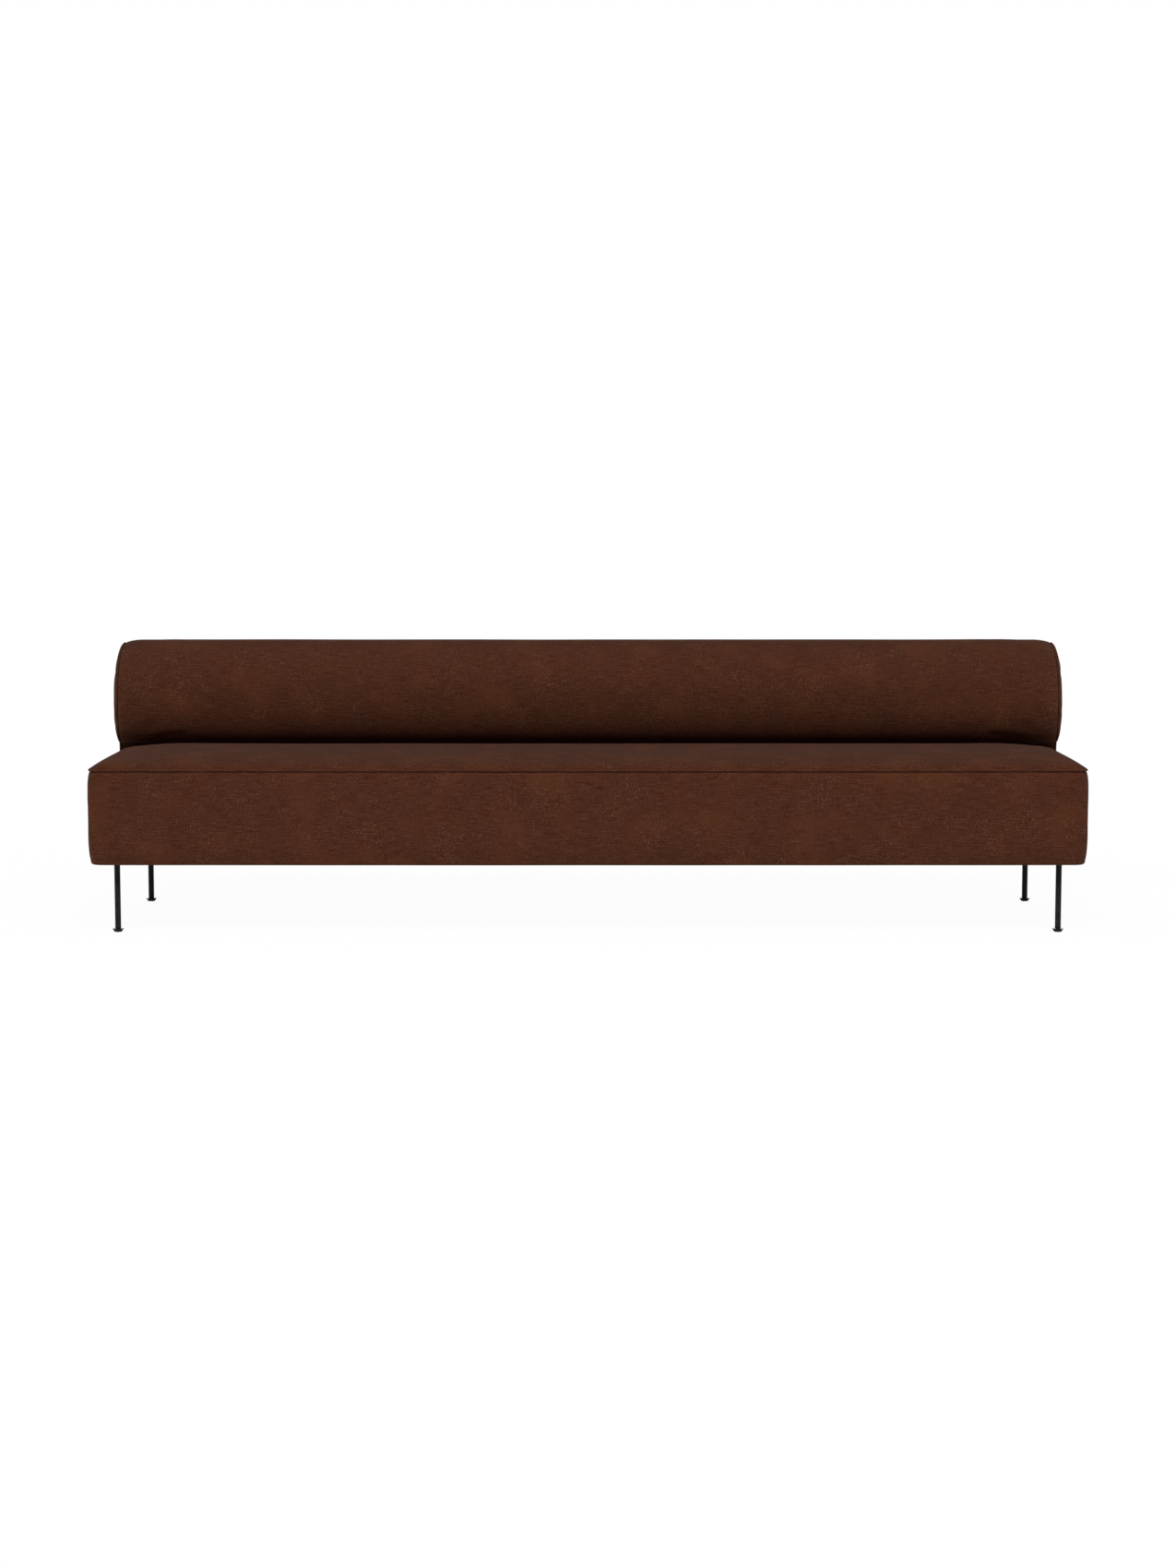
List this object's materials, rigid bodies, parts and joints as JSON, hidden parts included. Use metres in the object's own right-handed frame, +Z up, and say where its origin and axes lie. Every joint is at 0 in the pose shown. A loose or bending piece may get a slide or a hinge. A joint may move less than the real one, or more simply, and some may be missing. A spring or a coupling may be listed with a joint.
{
  "type": "dining sofa",
  "caption": "Long armless dining sofa: a boxed seat with a piped, crowned top and a rolled upholstered back, on slim black rod legs with levelling feet.",
  "frame": {"origin": "on the floor, under the middle of the sofa", "axes": "+X along the length towards the right seen from the front, +Y from the front to the back, +Z up"},
  "size_m": [2.6824, 0.719, 0.7588],
  "materials": {
    "fabric": "matte",
    "piping": "matte",
    "black_steel": "satin",
    "zinc_steel": "satin",
    "beech": "matte",
    "plywood": "matte",
    "board": "matte",
    "webbing": "matte",
    "foam": "matte",
    "dust_cloth": "matte"
  },
  "bodies": {
    "sofa": {"seat_border": "fabric", "seat_top_panel": "fabric", "seat_piping": "piping", "back_front_cover": "fabric", "back_rear_cover": "fabric", "back_end_pad_left": "fabric", "back_end_pad_right": "fabric", "dust_cover": "dust_cloth", "seat_foam": "foam", "seat_topper": "foam", "back_foam": "foam", "front_rail": "beech", "rear_rail": "beech", "left_end_rail": "plywood", "right_end_rail": "plywood", "cross_rail_1": "beech", "cross_rail_2": "beech", "cross_rail_3": "beech", "back_support_rail": "beech", "webbing_batten": "beech", "corner_block_front_left": "beech", "corner_block_front_right": "beech", "corner_block_rear_left": "beech", "corner_block_rear_right": "beech", "back_deck": "plywood", "back_sill": "plywood", "back_rear_panel": "plywood", "back_rib_1": "plywood", "back_rib_2": "plywood", "back_rib_3": "plywood", "back_rib_4": "plywood", "back_rib_5": "plywood", "back_nose_board": "board", "back_bolt_1": "zinc_steel", "back_bolt_2": "zinc_steel", "back_bolt_3": "zinc_steel", "back_bolt_4": "zinc_steel", "long_webbing_1": "webbing", "long_webbing_2": "webbing", "webbing_strap_01": "webbing", "webbing_strap_02": "webbing", "webbing_strap_03": "webbing", "webbing_strap_04": "webbing", "webbing_strap_05": "webbing", "webbing_strap_06": "webbing", "webbing_strap_07": "webbing", "webbing_strap_08": "webbing", "webbing_strap_09": "webbing", "webbing_strap_10": "webbing", "webbing_strap_11": "webbing", "webbing_strap_12": "webbing", "leg_front_left": "black_steel", "leg_front_right": "black_steel", "leg_rear_left": "black_steel", "leg_rear_right": "black_steel"},
    "foot_front_left": {"levelling_foot_front_left": "black_steel"},
    "foot_front_right": {"levelling_foot_front_right": "black_steel"},
    "foot_rear_left": {"levelling_foot_rear_left": "black_steel"},
    "foot_rear_right": {"levelling_foot_rear_right": "black_steel"}
  },
  "joints": [
    {"name": "level_front_left", "type": "slide", "parent": "sofa", "child": "foot_front_left", "axis": [0, 0, -1], "range_m": [0, 0.01]},
    {"name": "level_front_right", "type": "slide", "parent": "sofa", "child": "foot_front_right", "axis": [0, 0, -1], "range_m": [0, 0.01]},
    {"name": "level_rear_left", "type": "slide", "parent": "sofa", "child": "foot_rear_left", "axis": [0, 0, -1], "range_m": [0, 0.01]},
    {"name": "level_rear_right", "type": "slide", "parent": "sofa", "child": "foot_rear_right", "axis": [0, 0, -1], "range_m": [0, 0.01]}
  ]
}
